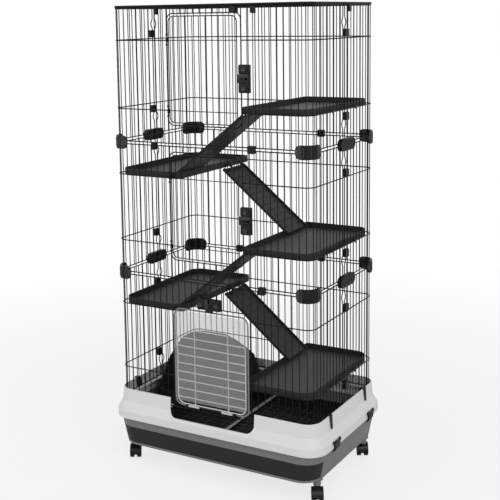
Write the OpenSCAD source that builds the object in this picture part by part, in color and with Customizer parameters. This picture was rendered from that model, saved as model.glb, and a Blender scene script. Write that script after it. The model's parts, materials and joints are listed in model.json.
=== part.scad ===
// Three-tier wire ferret cage on a moulded base with casters.
// X runs across the front, -Y is the front, Z is up from the floor.

/* [Wire cage] */
// Width of the cage between its side wire planes
cage_w = 744; // [640:1:1000]
// Depth of the cage between its front and back wire planes
cage_d = 492; // [440:1:620]
// Height of one tier
tier_h = 457; // [445:1:520]
// Radius of the cage's upright corners
corner_r = 30; // [25:1:50]
// Height of the lowest wires above the floor
cage_z = 240; // [232:1:260]
// Distance between upright wires
pitch = 25; // [20:1:27]
// Thickness of the welded wire
wire_t = 3; // [2:0.1:4]
// Height of the level ring wires
ring_h = 3.5; // [3:0.1:5]
// First and last wire's distance from the ends of a tier
end_gap = 5; // [4:0.5:8]
// Height of the lower ring above the bottom of a tier
low_ring = 115; // [105:1:125]
// Height of the upper ring above the bottom of a tier
high_ring = 346; // [330:1:356]
// Thickness of the roof rail
rail_t = 8; // [6:0.5:12]
// Pitch of the roof's cross wires
roof_cross = 124; // [80:1:160]

/* [Side doors] */
// Left edge of the upper door openings
door_x = -151; // [-160:1:-130]
// Width of the upper door openings
door_w = 279; // [240:1:290]
// Height of the sill of the upper door openings above the tier
door_sill = 66; // [40:1:90]
// Height of the upper door openings
door_h = 367; // [330:1:372]
// Space between an opening and its door's wires
door_gap = 9; // [7:0.5:12]
// Space between an opening and its door on the latch side
latch_gap = 13; // [12.6:0.1:16]
// Space between the wall and the doors in front of it
door_clear = 2; // [1.5:0.1:4]
// Radius of the door frames' corners
door_r = 20; // [6:1:24]
// Radius of the hinge pins
pin_r = 2; // [1.5:0.1:2.5]
// Clearance round a loose pin
pin_clear = 0.3; // [0.2:0.05:0.5]
// Wall of the sleeves round the hinge pins
sleeve_t = 1.6; // [1.2:0.1:2]

/* [Drop door] */
// Width of the low door's opening
drop_w = 303; // [250:1:310]
// Height of the low door's sill above the tier
drop_sill = 16; // [13:1:24]
// Height of the low door's opening
drop_h = 354; // [330:1:360]
// Distance between the low door's level wires
rung = 29; // [25:1:45]
// Distance of the low door's upright wires from its middle
drop_upright = 65; // [50:1:80]
// Thickness of the clear panel
panel_t = 2; // [1.5:0.1:3]
// Distance from the low door's wires forward to its hinge pin
drop_pin_out = 8; // [7:0.5:10]

/* [Door latches] */
// Width of a latch block
latch_w = 39; // [34:1:44]
// Height of a latch block
latch_h = 90; // [70:1:100]
// Thickness of a latch block
latch_t = 16; // [14:0.5:20]
// Height of a latch knob
knob_h = 28; // [20:1:34]
// Length of a latch slider
knob_l = 30; // [26:1:32]
// Thickness of a latch slider
knob_t = 7; // [5:0.5:8]
// Travel of a latch towards the door
latch_lock = 8; // [6:0.5:8]
// Travel of a latch away from the door
latch_free = 6; // [4:0.5:6]

/* [Shelves and ramps] */
// Size of a shelf from wall to middle
shelf_w = 246; // [220:1:262]
// Gap between a shelf and the front and back wires
shelf_gap_y = 8; // [6:0.5:14]
// Radius of a shelf's corners at the wall
shelf_r = 45; // [42:1:60]
// Radius of a shelf's corners towards the middle
shelf_in_r = 14; // [8:1:30]
// Gap between a shelf and the wires
shelf_gap = 6.5; // [4:0.5:10]
// Depth of a shelf's underside below its ring
shelf_drop = 5; // [4:0.5:8]
// Height of a shelf's rim
shelf_h = 23; // [18:1:28]
// Wall of a shelf
shelf_t = 3; // [2:0.1:4]
// Width of a ramp
ramp_w = 148; // [130:1:160]
// Thickness of a ramp's board
ramp_t = 4; // [3:0.1:6]
// Height of a ramp's side rims
ramp_rim = 6; // [4:1:16]
// Distance between a ramp's cleats
cleat_pitch = 28; // [20:1:40]
// Height of a ramp's cleats
cleat_h = 1.5; // [1:0.1:4]
// Distance of the front ramps from the shelves' front corners
front_ramp_in = 1; // [1:1:30]
// Distance of the rear ramps from the shelves' back corners
rear_ramp_in = 27; // [1:1:40]
// How far a ramp reaches in under the shelf it hangs from
ramp_tuck = 4; // [2:1:20]
// How far a ramp reaches in over the shelf it rests on
ramp_reach = 15; // [10:1:25]
// Radius of the rods that the ramps hang on
rod_r = 3; // [2.5:0.1:4]

/* [Base] */
// Distance of the surround's top edge outside the side wires
top_out_x = 14; // [10:1:16]
// Distance of the surround's top edge outside the front and back wires
top_out_y = 8; // [7:1:14]
// Height of the surround's top edge above the cage's lowest wires
top_up = 35; // [25:1:45]
// Outward slope of the surround's wall over its height
wall_flare = 7; // [4:0.5:8]
// Reach of the flange beyond the surround's wall
flange_out = 15; // [14:0.5:20]
// Depth of the flange's lower edge below the cage's lowest wires
flange_down = 67; // [60:1:72]
// Height of the flange
flange_h = 26; // [22:1:32]
// Wall of the moulded base parts
mould_t = 3; // [2.5:0.1:4]
// Least gap between the cage's corners and the surround
rim_gap = 1.7; // [0.5:0.1:2.5]
// Half width of the front cut-out
cut_x = 165; // [155:1:180]
// Depth of the front cut-out below the cage's lowest wires
cut_down = 31; // [24:1:36]
// Radius of the cut-out's lower corners
cut_r = 28; // [15:1:35]
// Height of the lower shell's underside above the floor
shell_z = 75; // [70:1:80]
// Inward slope of the lower shell over its height
shell_taper = 22; // [10:1:26]
// Height of the grates' underside below the cage's lowest wires
grate_down = 90; // [86:1:92]
// Thickness of the grates
grate_t = 5; // [4:0.5:6]
// Pitch of the grates' bars
grate_pitch = 30; // [24:1:40]
// Width of the middle rail between the grates
mid_rail_w = 22; // [16:1:30]
// Width of the ledge that the grates lie on
ledge_w = 22; // [16:1:28]
// Thickness of the ledges
ledge_t = 4; // [3:0.5:6]
// Reach of the surround's ledge inside the wires
ledge_in = 13; // [8:1:18]

/* [Drawer] */
// Height of the drawer's front
drawer_h = 56; // [45:1:58]
// Height of the drawer above the shell's underside
drawer_lift = 9; // [7:0.5:10]
// Depth of the drawer front's wrap round the shell's corners
drawer_wrap = 56; // [40:1:60]
// Gap round the drawer's front
drawer_gap = 1; // [0.8:0.1:2]

/* [Litter pan] */
// Length of the pan's sides along the walls
pan_leg = 285; // [240:1:300]
// Height of the pan's back
pan_h = 201; // [150:1:215]
// Height of the pan's front lip
pan_lip = 53; // [40:1:70]

/* [Casters] */
// Distance of the casters inside the side wires
caster_in_x = 10; // [8:1:40]
// Distance of the casters inside the front and back wires
caster_in_y = 55; // [48:1:68]
// Radius of the wheels
wheel_r = 23; // [21:0.5:27]
// Overall width of a pair of wheels
wheel_w = 38; // [34:1:50]
// Width of one wheel
tread_w = 13; // [11:1:16]
// Distance of the axle from the swivel
trail = 12; // [8:0.5:14]
// Turn of the casters on their swivels
caster_turn = 30; // [0:1:60]
// Radius of the swivel stem
stem_r = 5; // [4:0.5:6]
// Radius of the axle
axle_r = 3; // [2.5:0.1:4]
// Radial clearance of the stems and axles
run_clear = 0.05; // [0.03:0.01:0.1]

/* [Clips and catches] */
// Distance between a clip and the wires that it holds
seat = 0.2; // [0.1:0.05:0.3]
// Height of a corner clip
corner_clip_h = 45; // [36:1:50]
// Thickness of the corner clips
corner_clip_t = 8; // [6:0.5:12]
// Straight reach of a corner clip past the corner
corner_clip_l = 22; // [12:1:26]
// Thickness of the other clips
clip_t = 13; // [9:0.5:15]
// Length of a side clip
side_clip_l = 114; // [80:1:120]
// Height of a side clip
side_clip_h = 39; // [32:1:44]
// Size of the small clips
small_clip = 25; // [20:1:28]
// Size of the seam blocks
seam_block = 26; // [20:1:28]
// Height of the base catches
catch_h = 42; // [38:1:56]
// Width of the base catches
catch_w = 40; // [26:1:46]
// Thickness of the base catches
catch_t = 6; // [5:0.5:8]
// Place of the base catches, front to back
catch_y = 142; // [110:1:170]
// Radius of the catches' pivot pins
catch_pin_r = 2; // [1.5:0.1:2]
// Height of the hold-down wedges
wedge_h = 52; // [44:1:60]
// Width of the hold-down wedges
wedge_w = 16; // [10:1:20]

/* [Hidden] */

// hairline left between the welded sections of one wire panel
split = 0.06;
half_w = cage_w / 2;
half_d = cage_d / 2;
out = wire_t / 2;
side_a = half_w - corner_r;
side_b = half_d - corner_r;
top_wire = tier_h - end_gap;
front_y = -half_d - out;
shelf_d = cage_d - 2 * shelf_gap_y;
ramp_reach_y = shelf_d / 2 - shelf_in_r - ramp_w / 2;
front_ramp_y = front_ramp_in - ramp_reach_y;
rear_ramp_y = ramp_reach_y - rear_ramp_in;
top_x = half_w + top_out_x;
top_y = half_d + top_out_y;
caster_x = half_w - caster_in_x;
caster_y = half_d - caster_in_y;
cage_top = cage_z + 3 * tier_h - end_gap + ring_h / 2;
black = [0.06, 0.06, 0.06];
dark = [0.15, 0.15, 0.15];
tray_grey = [0.26, 0.26, 0.27];
mid_grey = [0.45, 0.45, 0.46];
pale = [0.88, 0.88, 0.88];

function tier_z(t) = cage_z + t * tier_h;
function steps(a, b, s) = [for (v = [a : s : b + 0.001]) v];

// ---- wire panels ----

// flat welded panel with upright wires at us and level wires at vs
module grille(us, vs, u0, u1, v0, v1) {
    linear_extrude(wire_t) {
        for (u = us) translate([u - wire_t / 2, v0]) square([wire_t, v1 - v0]);
        for (v = vs) translate([u0, v - ring_h / 2]) square([u1 - u0, ring_h]);
    }
}

module on_front(z) translate([0, -half_d + out, z]) rotate([90, 0, 0]) children();
module on_back(z) translate([0, half_d + out, z]) rotate([90, 0, 0]) children();
module on_side(s, z) translate([s * half_w - out, 0, z]) rotate([90, 0, 90]) children();

// distance of the seam's wires from the middle of a side
seam_y = wire_t / 2 + 2.5;
rings = [end_gap, low_ring, high_ring, top_wire];
v_low = end_gap - ring_h / 2;
v_high = top_wire + ring_h / 2;
corner_wires = 2;

// a quarter of the rings in sections, each with its upright wire
module corner(sx, sy, z) {
    a0 = sx > 0 ? (sy > 0 ? 0 : 270) : (sy > 0 ? 90 : 180);
    turn = asin(split / corner_r) * 1.2;
    sweep = 90 / corner_wires;
    translate([sx * side_a, sy * side_b, z])
        for (k = [0 : corner_wires - 1]) rotate([0, 0, a0 + k * sweep]) {
            for (v = rings)
                translate([0, 0, v - ring_h / 2]) rotate([0, 0, turn])
                    rotate_extrude(angle = sweep - 2 * turn, $fn = 96)
                        translate([corner_r - out, 0]) square([wire_t, ring_h]);
            rotate([0, 0, sweep / 2]) translate([corner_r, 0, v_low])
                cylinder(r = wire_t * 0.43, h = v_high - v_low, $fn = 24);
        }
}

// half of a side wall, from the seam to the corner
module side_half(sx, sy, z) {
    first = seam_y;
    us = [for (u = steps(first, side_b - wire_t, pitch)) sy * u];
    on_side(sx, z)
        grille(us, rings, sy > 0 ? first - out : -side_b, sy > 0 ? side_b : out - first,
               v_low, v_high);
}

module door_walls(z, x0, x1, z0, z1) {
    left = [for (u = steps(-x0, side_a - 1, pitch)) -u];
    right = steps(x1, side_a - 1, pitch);
    inner = [for (k = [1 : floor((x1 - x0 - 8) / pitch)]) x0 + k * pitch];
    on_front(z) {
        grille(left, rings, -side_a, x0 + out, v_low, v_high);
        grille(right, rings, x1 - out, side_a, v_low, v_high);
        grille(inner, [end_gap, z0], x0 + out + split, x1 - out - split,
               v_low, z0 + ring_h / 2);
        grille(inner, [z1, top_wire], x0 + out + split, x1 - out - split,
               z1 - ring_h / 2, v_high);
    }
}

module front_shell(t, x0, x1, z0, z1) {
    color(black) {
        door_walls(tier_z(t), x0, x1, z0, z1);
        for (s = [-1, 1]) {
            corner(s, -1, tier_z(t));
            side_half(s, -1, tier_z(t));
        }
    }
}

module back_shell(t) {
    n = floor((side_a - 1) / pitch);
    color(black) {
        on_back(tier_z(t))
            grille([for (k = [-n : n]) k * pitch], rings, -side_a, side_a, v_low, v_high);
        for (s = [-1, 1]) {
            corner(s, 1, tier_z(t));
            side_half(s, 1, tier_z(t));
        }
    }
}

module front_shell_low()
    front_shell(0, -drop_w / 2, drop_w / 2, drop_sill, drop_sill + drop_h);
module front_shell_middle()
    front_shell(1, door_x, door_x + door_w, door_sill, door_sill + door_h);
module front_shell_top()
    front_shell(2, door_x, door_x + door_w, door_sill, door_sill + door_h);
module back_shell_low() back_shell(0);
module back_shell_middle() back_shell(1);
module back_shell_top() back_shell(2);

// ---- outlines ----

module rounded(w, d, r) {
    union() {
        square([w, d - 2 * r], center = true);
        square([w - 2 * r, d], center = true);
        for (sx = [-1, 1], sy = [-1, 1])
            translate([sx * (w / 2 - r), sy * (d / 2 - r)]) circle(r = r, $fn = 48);
    }
}

// a rounded block whose outline grows or shrinks towards its top
module sloped(w0, d0, r0, w1, d1, r1, h) {
    hull() {
        linear_extrude(0.01) rounded(w0, d0, r0);
        translate([0, 0, h - 0.01]) linear_extrude(0.01) rounded(w1, d1, r1);
    }
}

module roof_panel() {
    rail_r = corner_r + rail_t / 2;
    z = cage_top + seat;
    color(black) {
        translate([0, 0, z]) linear_extrude(rail_t) difference() {
            rounded(cage_w + rail_t, cage_d + rail_t, rail_r);
            rounded(cage_w - rail_t, cage_d - rail_t, rail_r - rail_t);
        }
        n = floor((side_a + 12) / pitch);
        m = floor((half_d - 20) / roof_cross);
        translate([0, 0, z + rail_t / 2 - out]) linear_extrude(wire_t) {
            for (k = [-n : n])
                translate([k * pitch - out, -half_d]) square([wire_t, cage_d]);
            for (k = [-m : m])
                translate([-half_w, k * roof_cross - out]) square([cage_w, wire_t]);
        }
    }
}

// ---- doors ----

module frame_2d(w, h, r) {
    difference() {
        rounded(w, h, r);
        rounded(w - 2 * wire_t, h - 2 * wire_t, r - wire_t);
    }
}

door_y = front_y - door_clear;
door_l = door_x + door_gap;
door_rt = door_x + door_w - latch_gap;
door_b = door_sill + door_gap;
door_tp = door_sill + door_h - door_gap;
door_pin_x = door_l - sleeve_t - pin_r - pin_clear - 1.2;
door_pin_y = door_y - wire_t / 2 - 1;
sleeve_h = 24;
sleeve_at = [low_ring - 2, high_ring + 2];

module swing_door(t) {
    w = door_rt - door_l + wire_t;
    h = door_tp - door_b + wire_t;
    inner = [for (k = [1 : floor((door_w - latch_gap - 6) / pitch)])
             door_x + k * pitch];
    sleeve_r = pin_r + pin_clear + sleeve_t;
    z = tier_z(t);
    color(black) {
        translate([0, door_y, z]) rotate([90, 0, 0]) linear_extrude(wire_t) {
            translate([(door_l + door_rt) / 2, (door_b + door_tp) / 2])
                frame_2d(w, h, door_r);
            for (x = inner)
                translate([x - out, door_b]) square([wire_t, door_tp - door_b]);
            for (v = [low_ring, high_ring])
                translate([door_l, v - out]) square([door_rt - door_l, wire_t]);
        }
        for (v = sleeve_at) difference() {
            translate([0, 0, z + v - sleeve_h / 2]) union() {
                translate([door_pin_x, door_pin_y, 0]) cylinder(r = sleeve_r, h = sleeve_h, $fn = 32);
                translate([door_pin_x, door_y - wire_t, 0])
                    cube([door_l - door_pin_x, wire_t - 0.4, sleeve_h]);
            }
            translate([door_pin_x, door_pin_y, z + v - sleeve_h])
                cylinder(r = pin_r + pin_clear, h = 2 * sleeve_h, $fn = 32);
        }
    }
}

// upright rod that a swinging door turns on, with its feet on the wall
module swing_pin(t) {
    foot = 8;
    z = tier_z(t);
    color(black) for (v = sleeve_at) {
        top = v + sleeve_h / 2 + pin_clear;
        low = v - sleeve_h / 2 - pin_clear;
        translate([door_pin_x, door_pin_y, z + low - foot])
            cylinder(r = pin_r, h = top - low + 2 * foot, $fn = 32);
        for (v1 = [low - foot, top])
            translate([door_x - out, front_y - 5, z + v1])
                cube([door_pin_x - door_x + out, 5, foot]);
    }
}

module middle_door() swing_door(1);
module top_door() swing_door(2);
module middle_door_pin() swing_pin(1);
module top_door_pin() swing_pin(2);

drop_half = drop_w / 2 - door_gap;
drop_z0 = cage_z + drop_sill + 2;
drop_z1 = cage_z + drop_sill + drop_h - latch_gap;
drop_y = door_y;
drop_pin_y = drop_y - wire_t - drop_pin_out;
drop_pin_z = drop_z0 + 4;
drop_foot_w = 48;
drop_foot_h = 15;

module drop_door() {
    h = drop_z1 - drop_z0 + wire_t;
    n = floor((h - 20) / rung);
    color([0.72, 0.72, 0.73]) {
        translate([0, drop_y, 0]) rotate([90, 0, 0]) linear_extrude(wire_t) {
            translate([0, (drop_z0 + drop_z1) / 2]) frame_2d(2 * drop_half + wire_t, h, door_r);
            for (s = [-1, 1]) translate([s * drop_upright - out, drop_z0])
                square([wire_t, drop_z1 - drop_z0]);
            for (k = [1 : n]) translate([-drop_half, drop_z0 + k * rung - out])
                square([2 * drop_half, wire_t]);
        }
        for (s = [-1, 1]) difference() {
            translate([s * drop_upright - drop_foot_w / 2, drop_pin_y - 4, drop_pin_z - 5])
                cube([drop_foot_w, drop_y - wire_t / 2 - drop_pin_y + 4, drop_foot_h]);
            translate([s * drop_upright - drop_foot_w, drop_pin_y, drop_pin_z])
                rotate([0, 90, 0])
                    cylinder(r = pin_r + pin_clear, h = 2 * drop_foot_w, $fn = 32);
        }
    }
}

module drop_door_panel() {
    z0 = drop_pin_z - 5 + drop_foot_h + 2;
    z1 = drop_z1 - 6;
    color([0.7, 0.7, 0.72, 0.5])
        translate([0, drop_y - wire_t - seat / 2, (z0 + z1) / 2]) rotate([90, 0, 0])
            linear_extrude(panel_t) rounded(2 * drop_half - 8, z1 - z0, door_r - 4);
}

module drop_door_pin() {
    foot = 7;
    reach = drop_upright + drop_foot_w / 2 + pin_clear;
    color(black) {
        translate([-reach - foot, drop_pin_y, drop_pin_z]) rotate([0, 90, 0])
            cylinder(r = pin_r, h = 2 * (reach + foot), $fn = 32);
        for (s = [-1, 1])
            translate([s > 0 ? reach : -reach - foot, drop_pin_y - 3, drop_pin_z - 12]) {
                cube([foot, front_y - drop_pin_y + 3, 6]);
                cube([foot, drop_pin_out + 1.5, 14]);
            }
    }
}

// ---- door latches: local x runs away from the door, y along the block ----

latch_y0 = front_y - seat;
slot_gap = 0.3;
knob_in = door_y - wire_t - 0.7;
peg = 5;
knob_out = latch_gap - wire_t - 2.5;

module latch_block() {
    slot_l = latch_w - 8;
    d = latch_y0 - knob_in;
    win0 = knob_l - knob_out - 12 - peg / 2 - latch_lock - slot_gap;
    difference() {
        translate([0, -latch_h / 2, 0]) cube([latch_w, latch_h, latch_t]);
        translate([-1, -knob_h / 2 - slot_gap, d - slot_gap])
            cube([slot_l + 1, knob_h + 2 * slot_gap, knob_t + 2 * slot_gap]);
        translate([win0, -peg / 2 - slot_gap, d])
            cube([peg + latch_lock + latch_free + 2 * slot_gap, peg + 2 * slot_gap, latch_t]);
    }
    for (s = [-1, 1]) translate([latch_w / 2, s * latch_h * 0.34, latch_t])
        cylinder(r = 8, h = 4, $fn = 32);
}

module latch_slider() {
    d = latch_y0 - knob_in;
    translate([-knob_out, -knob_h / 2, d]) cube([knob_l, knob_h, knob_t]);
    translate([knob_l - knob_out - 12 - peg / 2, -peg / 2, d + knob_t - 1])
        cube([peg, peg, latch_t - d - knob_t + 4]);
}

// the latch stands on the opening's edge wire
module at_side_latch(t)
    translate([door_x + door_w - wire_t, latch_y0, tier_z(t) + door_sill + door_h * 0.433])
        rotate([90, 0, 0]) children();
module at_drop_latch()
    translate([0, latch_y0, cage_z + drop_sill + drop_h - wire_t])
        rotate([90, 0, 0]) rotate([0, 0, 90]) children();

module drop_latch_block() color(black) at_drop_latch() latch_block();
module middle_latch_block() color(black) at_side_latch(1) latch_block();
module top_latch_block() color(black) at_side_latch(2) latch_block();
module drop_latch_slider() color(dark) at_drop_latch() latch_slider();
module middle_latch_slider() color(dark) at_side_latch(1) latch_slider();
module top_latch_slider() color(dark) at_side_latch(2) latch_slider();

// ---- shelves: local x runs from the wall towards the middle ----

// height of each shelf's ring wire, and the wall it hangs on
shelf_levels = [tier_z(2) + low_ring, tier_z(1) + high_ring, tier_z(1) + low_ring,
                tier_z(0) + high_ring, tier_z(0) + low_ring];
shelf_wall = half_w - out - shelf_gap;
edge_x = shelf_wall - shelf_w;
rod_out = 7;
rod_x = edge_x - rod_out;
rod_up = 1;
hook_y = 35;
rod_half = 60;
// space between a ramp's upper end and the shelf above it
under_gap = 1;
// a ramp's rims, cleats and hooks
rim_t = 4;
cleat_w = 6;
first_cleat = 18;
hook_w = 12;
hook_t = 3;
arm_t = hook_t - 0.8;

// a shelf's outline, grown or shrunk all round
module shelf_outline(grow) {
    w = shelf_w + 2 * grow;
    d = shelf_d + 2 * grow;
    rounded(w, d, shelf_r + grow);
    translate([-w / 4, 0]) rounded(w / 2, d, shelf_in_r + grow);
}

module shelf(i, rods) {
    s = i % 2 == 0 ? 1 : -1;
    z = shelf_levels[i];
    color(tray_grey) mirror([s > 0 ? 0 : 1, 0, 0]) translate([0, 0, z]) {
        translate([edge_x + shelf_w / 2, 0, -shelf_drop]) difference() {
            linear_extrude(shelf_h) shelf_outline(0);
            translate([0, 0, shelf_t]) linear_extrude(shelf_h) shelf_outline(-shelf_t);
        }
        // hooks over the ring wire
        for (e = [-1, 1]) translate([0, e * (seam_y + 3.5 * pitch), ring_h / 2]) {
            translate([shelf_wall - 1, -5, 0.2]) cube([half_w + out + 4 - shelf_wall, 10, 3]);
            translate([half_w + out + 0.5, -5, -8]) cube([2.5, 10, 9]);
        }
        for (y = rods) translate([0, y, 0]) {
            translate([rod_x, rod_half, rod_up]) rotate([90, 0, 0])
                cylinder(r = rod_r, h = 2 * rod_half, $fn = 32);
            for (k = [-1, 0, 1])
                translate([rod_x - 1, k * (rod_half - 3) - 3, rod_up - rod_r + 0.5])
                    cube([rod_out + 1.5, 6, 2 * rod_r - 1]);
        }
    }
}

module shelf_1() shelf(0, [front_ramp_y]);
module shelf_2() shelf(1, [rear_ramp_y]);
module shelf_3() shelf(2, [front_ramp_y]);
module shelf_4() shelf(3, [rear_ramp_y]);
module shelf_5() shelf(4, []);

// ---- ramps ----

// a ramp from shelf i down to shelf i + 1; local x runs downhill
module ramp(i, y) {
    s = i % 2 == 0 ? -1 : 1;
    up = shelf_levels[i];
    low = shelf_levels[i + 1];
    rim_z = shelf_h - shelf_drop;
    rest_z = rim_z + 0.3;
    // from the lower shelf's rim up to just below the upper shelf's underside
    rest_x = edge_x + shelf_t;
    run = rest_x + edge_x + ramp_tuck;
    rise = up - low - shelf_drop - under_gap - rest_z;
    steepest = atan(rise / run);
    slope = atan((rise - (ramp_t + ramp_rim) * cos(steepest)) / run);
    length = (run + ramp_reach - shelf_t) / cos(slope);
    n = floor((length - first_cleat - 2 * cleat_w) / cleat_pitch);
    hook_r = rod_r + pin_clear;
    arm_x = -rod_x;
    arm_in = hook_r + 0.4;
    // the arms end inside the board
    arm_z = rest_z + low + (rest_x - arm_x - arm_in - arm_t) * tan(slope) + 0.7 * ramp_t;
    color(dark) mirror([s > 0 ? 0 : 1, 0, 0]) translate([0, y, 0]) {
        translate([rest_x, 0, low + rest_z]) rotate([0, slope, 0])
            translate([-run / cos(slope), -ramp_w / 2, 0]) {
                cube([length, ramp_w, ramp_t]);
                for (e = [0, ramp_w - rim_t])
                    translate([0, e, 0]) cube([length, rim_t, ramp_t + ramp_rim]);
                for (k = [0 : n])
                    translate([first_cleat + k * cleat_pitch, rim_t / 2, ramp_t / 2])
                        cube([cleat_w, ramp_w - rim_t, ramp_t / 2 + cleat_h]);
            }
        // arms with open hooks round the rod
        for (h = [-hook_y, hook_y]) translate([arm_x, h + hook_w / 2, 0]) {
            translate([0, 0, up + rod_up]) rotate([90, 0, 0]) rotate([0, 0, -80])
                rotate_extrude(angle = 250, $fn = 48)
                    translate([hook_r, 0]) square([hook_t, hook_w]);
            translate([arm_in, -hook_w, arm_z]) cube([arm_t, hook_w, up + rod_up - arm_z]);
        }
    }
}

module ramp_1() ramp(0, front_ramp_y);
module ramp_2() ramp(1, rear_ramp_y);
module ramp_3() ramp(2, front_ramp_y);
module ramp_4() ramp(3, rear_ramp_y);

// ---- base ----

// the surround's corners, as round as the cage's corners leave room for
rim_in = mould_t + out + rim_gap;
base_r = corner_r + wall_flare + top_out_x + top_out_y - rim_in
         + sqrt(2 * (top_out_x - rim_in) * (top_out_y - rim_in));
low_z = cage_z - flange_down;
wall_x = top_x + wall_flare;
wall_y = top_y + wall_flare;
flange_x = wall_x + flange_out;
flange_y = wall_y + flange_out;
flange_top = low_z + flange_h;
rim_x = flange_x - mould_t - 4;
rim_y = flange_y - mould_t - 4;
foot_x = rim_x - shell_taper;
foot_y = rim_y - shell_taper * 0.55;
shell_top = flange_top - mould_t - 0.3;
grate_z = cage_z - grate_down;
wall_h = cage_z + top_up - flange_top;

wedge_low = cage_z + top_up + seat - wedge_h + 8;
flare_h = wedge_low - flange_top - 2;

// half sizes of the two sloping walls' outsides at a height
function surround_out(z) = wall_flare * (cage_z + top_up - z) / wall_h;
function shell_x(z) = foot_x + (rim_x - foot_x) * (z - shell_z) / (shell_top - shell_z);
function shell_y(z) = foot_y + (rim_y - foot_y) * (z - shell_z) / (shell_top - shell_z);

module base_surround() {
    ledge_z = cage_z + v_low - ledge_t;
    ledge_out = surround_out(ledge_z) - mould_t / 2;
    flare = surround_out(flange_top + flare_h);
    flare_t = mould_t * 1.35;
    color(pale) difference() {
        union() {
            difference() {
                union() {
                    translate([0, 0, low_z]) linear_extrude(flange_h)
                        rounded(2 * flange_x, 2 * flange_y, base_r + 14);
                    translate([0, 0, flange_top - 0.5])
                        sloped(2 * wall_x, 2 * wall_y, base_r, 2 * top_x, 2 * top_y,
                               base_r - wall_flare, wall_h + 0.5);
                    // slope from the flange up to the wall
                    translate([0, 0, flange_top - 0.5])
                        sloped(2 * flange_x, 2 * flange_y, base_r + 14, 2 * (top_x + flare),
                               2 * (top_y + flare), base_r - wall_flare + flare, flare_h + 0.5);
                }
                translate([0, 0, low_z - 1]) linear_extrude(flange_h + 1 - mould_t)
                    rounded(2 * (flange_x - mould_t), 2 * (flange_y - mould_t),
                            base_r + 14 - mould_t);
                translate([0, 0, low_z + flange_h - mould_t - 1])
                    sloped(2 * (wall_x - mould_t), 2 * (wall_y - mould_t), base_r - mould_t,
                           2 * (top_x - mould_t), 2 * (top_y - mould_t),
                           base_r - wall_flare - mould_t, wall_h + mould_t + 1.5);
                translate([0, 0, flange_top])
                    sloped(2 * (flange_x - flare_t), 2 * (flange_y - flare_t),
                           base_r + 14 - flare_t, 2 * (top_x + flare - flare_t),
                           2 * (top_y + flare - flare_t), base_r - wall_flare + flare - flare_t,
                           flare_h - 0.5);
            }
            // ledge under the cage's lowest wires
            translate([0, 0, ledge_z]) linear_extrude(ledge_t) difference() {
                rounded(2 * (top_x + ledge_out), 2 * (top_y + ledge_out), base_r - mould_t);
                rounded(2 * (half_w - ledge_in), 2 * (half_d - ledge_in), corner_r - ledge_in);
            }
        }
        // front cut-out below the drop door
        translate([0, -half_d + 24, cage_z]) rotate([90, 0, 0])
            linear_extrude(half_d) {
                translate([-cut_x, cut_r - cut_down])
                    square([2 * cut_x, cut_down - cut_r + top_up + 10]);
                translate([-cut_x + cut_r, -cut_down])
                    square([2 * (cut_x - cut_r), cut_down + top_up]);
                for (s = [-1, 1]) translate([s * (cut_x - cut_r), cut_r - cut_down])
                    circle(r = cut_r, $fn = 48);
            }
    }
}

drawer_z = shell_z + drawer_lift;
slot_z1 = drawer_z + drawer_h + drawer_gap;
foot_r = base_r + 10;

module base_shell() {
    h = shell_top - shell_z;
    color(mid_grey) difference() {
        union() {
            difference() {
                translate([0, 0, shell_z])
                    sloped(2 * foot_x, 2 * foot_y, foot_r, 2 * rim_x, 2 * rim_y, foot_r, h);
                translate([0, 0, shell_z + mould_t])
                    sloped(2 * (foot_x - mould_t), 2 * (foot_y - mould_t), foot_r - mould_t,
                           2 * (rim_x - mould_t), 2 * (rim_y - mould_t), foot_r - mould_t, h);
            }
            // ledge that carries the grates
            translate([0, 0, grate_z - ledge_t]) linear_extrude(ledge_t) difference() {
                rounded(2 * shell_x(grate_z - ledge_t) - mould_t,
                        2 * shell_y(grate_z - ledge_t) - mould_t, foot_r - mould_t / 2);
                rounded(2 * (foot_x - ledge_w), 2 * (foot_y - ledge_w), foot_r - ledge_w);
            }
            // runners under the drawer
            for (s = [-1, 1])
                translate([s * (tray_w / 2 - 50) - 12, -foot_y + mould_t, shell_z + mould_t - 0.5])
                    cube([24, 2 * (foot_y - mould_t), tray_z - 0.3 - shell_z - mould_t + 0.5]);
        }
        // slot for the drawer, across the whole front
        translate([-rim_x - 10, -rim_y - 10, drawer_z - drawer_gap])
            cube([2 * rim_x + 20, rim_y + 10 - foot_y + drawer_wrap, slot_z1 - drawer_z + drawer_gap]);
    }
}

module drawer_front() {
    h = shell_top - shell_z;
    color(dark) intersection() {
        difference() {
            translate([0, 0, shell_z])
                sloped(2 * foot_x, 2 * foot_y, foot_r, 2 * rim_x, 2 * rim_y, foot_r, h);
            translate([0, 0, shell_z - 1])
                sloped(2 * (foot_x - mould_t), 2 * (foot_y - mould_t), foot_r - mould_t,
                       2 * (rim_x - mould_t), 2 * (rim_y - mould_t), foot_r - mould_t, h + 2);
        }
        translate([-rim_x - 10, -rim_y - 10, drawer_z])
            cube([2 * rim_x + 20, rim_y + 10 - foot_y + drawer_wrap - drawer_gap, drawer_h]);
    }
}

tray_w = 2 * (foot_x - mould_t - 11);
tray_y0 = -shell_y(drawer_z) + mould_t + 0.3;
tray_y1 = foot_y - mould_t - 4;
tray_z = drawer_z;

module drawer_tray() {
    d = tray_y1 - tray_y0;
    h = drawer_h;
    color(dark) translate([0, (tray_y0 + tray_y1) / 2, tray_z]) difference() {
        linear_extrude(h) rounded(tray_w, d, foot_r - 20);
        translate([0, 0, mould_t]) linear_extrude(h)
            rounded(tray_w - 2 * mould_t, d - 2 * mould_t, foot_r - 20 - mould_t);
    }
}

grate_x = shell_x(grate_z) - mould_t - 2;
grate_y = shell_y(grate_z) - mould_t - 2;

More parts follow.
